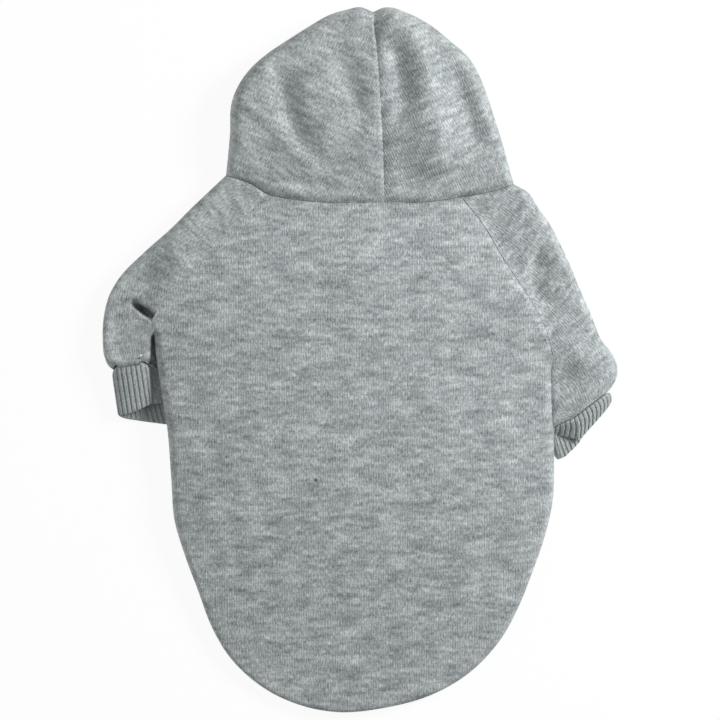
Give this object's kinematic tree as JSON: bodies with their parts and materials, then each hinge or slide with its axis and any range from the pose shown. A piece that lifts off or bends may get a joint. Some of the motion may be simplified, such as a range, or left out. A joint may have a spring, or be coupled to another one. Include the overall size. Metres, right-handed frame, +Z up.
{
  "type": "dog hoodie",
  "caption": "Pullover dog hoodie lying flat, back up: hood, raglan sleeves with ribbed cuffs, short belly panel and rounded tail.",
  "frame": {"origin": "middle of the footprint, on the surface that the hoodie lies on", "axes": "+Y towards the hood, +X to the right as the back is seen from above, +Z up off the surface"},
  "size_m": [0.2576, 0.3524, 0.0265],
  "materials": {
    "fleece": "grey heather brushed fleece, matt",
    "rib_knit": "grey heather rib knit, matt"
  },
  "bodies": {
    "root": {"back_panel": "fleece", "belly_panel": "fleece", "sleeve_left": "fleece", "sleeve_right": "fleece", "hood_left": "fleece", "hood_right": "fleece", "cuff_left": "rib_knit", "cuff_right": "rib_knit"}
  },
  "joints": []
}
